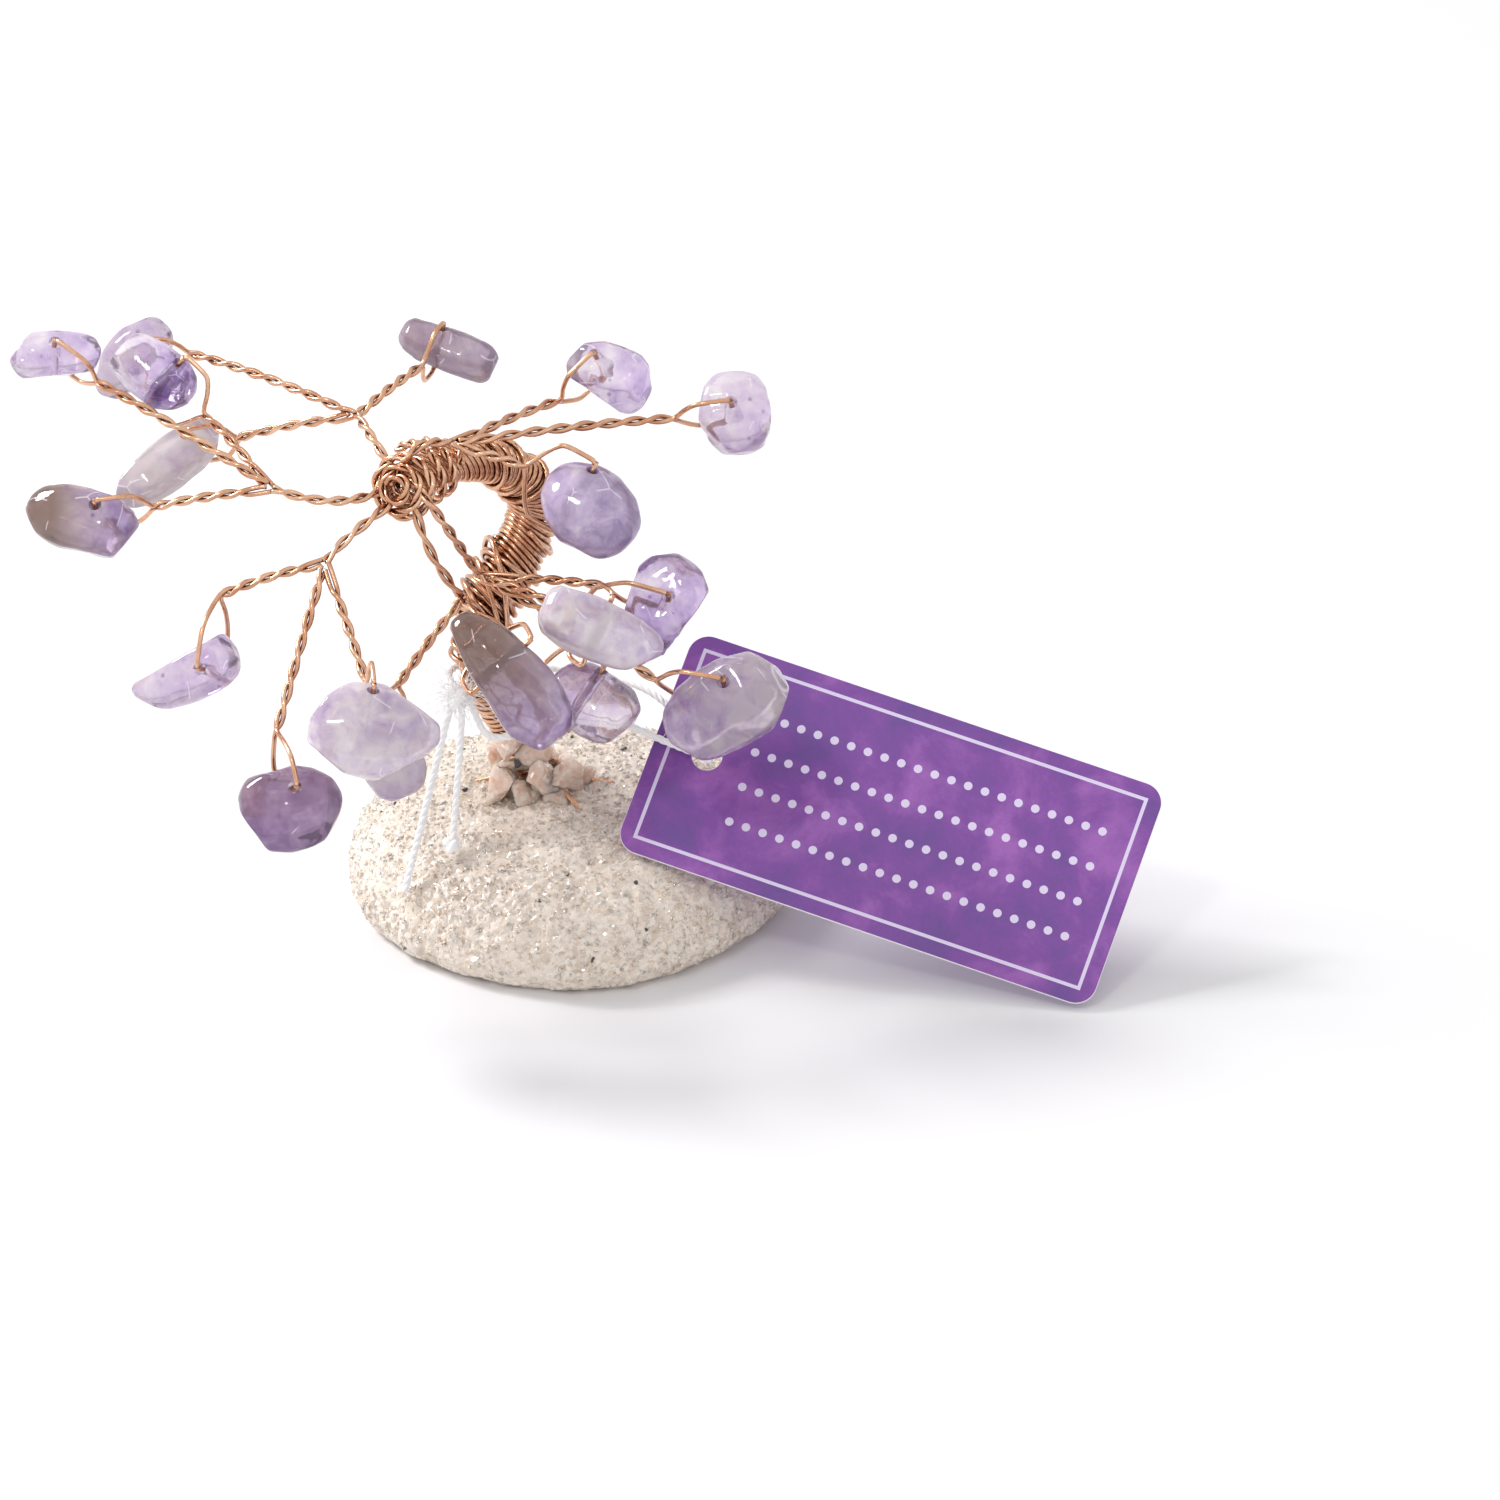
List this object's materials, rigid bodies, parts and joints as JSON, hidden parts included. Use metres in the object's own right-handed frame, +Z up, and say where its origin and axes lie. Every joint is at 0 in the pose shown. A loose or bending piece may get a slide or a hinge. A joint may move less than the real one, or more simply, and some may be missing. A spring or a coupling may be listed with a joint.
{
  "type": "gemstone tree ornament",
  "caption": "Small copper wire tree with drilled purple quartz chips hung in wire eyes, set in a crushed-quartz mound, with a card tag tied on by a knotted thread.",
  "frame": {"origin": "centre of the mound's flat underside, on the surface that it stands on", "axes": "+Z up, -Y towards the front where the tag shows its face, +X to the right as seen from the front"},
  "size_m": [0.0903, 0.0457, 0.0485],
  "materials": {
    "copper_wire": "bright drawn copper",
    "base_grit": "rough crushed grains in clear resin",
    "clear_quartz": "polished",
    "amethyst_pale": "tumbled polish",
    "amethyst_deep": "tumbled polish",
    "amethyst_milky": "tumbled polish",
    "amethyst_smoky": "tumbled polish",
    "tag_card": "smooth coated card",
    "cotton_thread": "loosely spun"
  },
  "bodies": {
    "tree": {"base_mound": "base_grit", "foot_quartz": "clear_quartz", "root_wires": "copper_wire", "trunk_core": "copper_wire", "winding_lower": "copper_wire", "winding_upper": "copper_wire", "crown_wrap": "copper_wire", "tag_thread": "cotton_thread", "spray_back": "copper_wire", "spray_rear_right": "copper_wire", "spray_left": "copper_wire", "spray_front_left": "copper_wire", "spray_right": "copper_wire", "spray_front": "copper_wire"},
    "chip_left_1": {"chip_left_1": "amethyst_pale"},
    "chip_left_2": {"chip_left_2": "amethyst_deep"},
    "chip_left_3": {"chip_left_3": "amethyst_smoky"},
    "chip_back_1": {"chip_back_1": "amethyst_pale"},
    "chip_back_2": {"chip_back_2": "amethyst_milky"},
    "chip_back_3": {"chip_back_3": "amethyst_smoky"},
    "chip_rear_right_1": {"chip_rear_right_1": "amethyst_pale"},
    "chip_rear_right_2": {"chip_rear_right_2": "amethyst_pale"},
    "chip_rear_right_3": {"chip_rear_right_3": "amethyst_milky"},
    "chip_front_left_1": {"chip_front_left_1": "amethyst_pale"},
    "chip_front_left_2": {"chip_front_left_2": "amethyst_deep"},
    "chip_front_left_3": {"chip_front_left_3": "amethyst_milky"},
    "chip_right_1": {"chip_right_1": "amethyst_deep"},
    "chip_right_2": {"chip_right_2": "amethyst_milky"},
    "chip_right_3": {"chip_right_3": "amethyst_smoky"},
    "chip_front_1": {"chip_front_1": "amethyst_milky"},
    "chip_front_2": {"chip_front_2": "amethyst_smoky"},
    "chip_front_3": {"chip_front_3": "amethyst_deep"},
    "tag": {"tag_card": "tag_card"}
  },
  "joints": [
    {"name": "swing_left_1", "type": "hinge", "parent": "tree", "child": "chip_left_1", "pos_m": [-0.03983, 0.00135, 0.04681], "axis": [0.171, -0.6906, 0.7027], "range_deg": [-12, 12]},
    {"name": "swing_left_2", "type": "hinge", "parent": "tree", "child": "chip_left_2", "pos_m": [-0.03118, 0.00181, 0.04399], "axis": [0.5826, -0.0472, 0.8114], "range_deg": [-12, 12]},
    {"name": "swing_left_3", "type": "hinge", "parent": "tree", "child": "chip_left_3", "pos_m": [-0.03615, -0.00741, 0.03685], "axis": [0, -0.6428, 0.766], "range_deg": [-12, 12]},
    {"name": "swing_back_1", "type": "hinge", "parent": "tree", "child": "chip_back_1", "pos_m": [-0.03343, 0.01043, 0.04261], "axis": [-0.0537, -0.6969, 0.7152], "range_deg": [-12, 12]},
    {"name": "swing_back_2", "type": "hinge", "parent": "tree", "child": "chip_back_2", "pos_m": [-0.02988, 0.00704, 0.03578], "axis": [-0.171, -0.5441, 0.8214], "range_deg": [-12, 12]},
    {"name": "swing_back_3", "type": "hinge", "parent": "tree", "child": "chip_back_3", "pos_m": [-0.01032, 0.01164, 0.04239], "axis": [0.212, -0.135, 0.9679], "range_deg": [-12, 12]},
    {"name": "swing_rear_right_1", "type": "hinge", "parent": "tree", "child": "chip_rear_right_1", "pos_m": [0.00251, 0.00687, 0.04312], "axis": [-0.171, -0.6906, 0.7027], "range_deg": [-12, 12]},
    {"name": "swing_rear_right_2", "type": "hinge", "parent": "tree", "child": "chip_rear_right_2", "pos_m": [0.01301, 0.00225, 0.04118], "axis": [-0.042, -0.7449, 0.6659], "range_deg": [-12, 12]},
    {"name": "swing_rear_right_3", "type": "hinge", "parent": "tree", "child": "chip_rear_right_3", "pos_m": [0.0011, -0.00553, 0.03732], "axis": [0.4145, -0.0485, 0.9087], "range_deg": [-12, 12]},
    {"name": "swing_front_left_1", "type": "hinge", "parent": "tree", "child": "chip_front_left_1", "pos_m": [-0.02713, -0.01674, 0.02807], "axis": [-0.3368, -0.8018, 0.4936], "range_deg": [-12, 12]},
    {"name": "swing_front_left_2", "type": "hinge", "parent": "tree", "child": "chip_front_left_2", "pos_m": [-0.02088, -0.02371, 0.02137], "axis": [0.2904, -0.7901, 0.5398], "range_deg": [-12, 12]},
    {"name": "swing_front_left_3", "type": "hinge", "parent": "tree", "child": "chip_front_left_3", "pos_m": [-0.01451, -0.02246, 0.02723], "axis": [0.1228, -0.2974, 0.9468], "range_deg": [-12, 12]},
    {"name": "swing_right_1", "type": "hinge", "parent": "tree", "child": "chip_right_1", "pos_m": [0.00797, -0.00823, 0.02954], "axis": [0.0626, -0.747, 0.6619], "range_deg": [-12, 12]},
    {"name": "swing_right_2", "type": "hinge", "parent": "tree", "child": "chip_right_2", "pos_m": [0.0027, -0.01475, 0.0305], "axis": [0.4006, 0.269, 0.8759], "range_deg": [-12, 12]},
    {"name": "swing_right_3", "type": "hinge", "parent": "tree", "child": "chip_right_3", "pos_m": [0.01243, -0.0139, 0.0247], "axis": [-0.0269, -0.6952, 0.7183], "range_deg": [-12, 12]},
    {"name": "swing_front_1", "type": "hinge", "parent": "tree", "child": "chip_front_1", "pos_m": [-0.0141, -0.01253, 0.02051], "axis": [-0.3368, -0.8018, 0.4936], "range_deg": [-12, 12]},
    {"name": "swing_front_2", "type": "hinge", "parent": "tree", "child": "chip_front_2", "pos_m": [-0.00464, -0.01839, 0.02922], "axis": [0.7359, 0.1882, 0.6504], "range_deg": [-12, 12]},
    {"name": "swing_front_3", "type": "hinge", "parent": "tree", "child": "chip_front_3", "pos_m": [0.00163, -0.01046, 0.02235], "axis": [0.483, 0.1642, 0.8601], "range_deg": [-12, 12]},
    {"name": "tag_swing", "type": "hinge", "parent": "tree", "child": "tag", "pos_m": [0.01101, -0.0057, 0.01471], "axis": [-0.0329, -0.7241, 0.6889], "range_deg": [0, 20]}
  ]
}
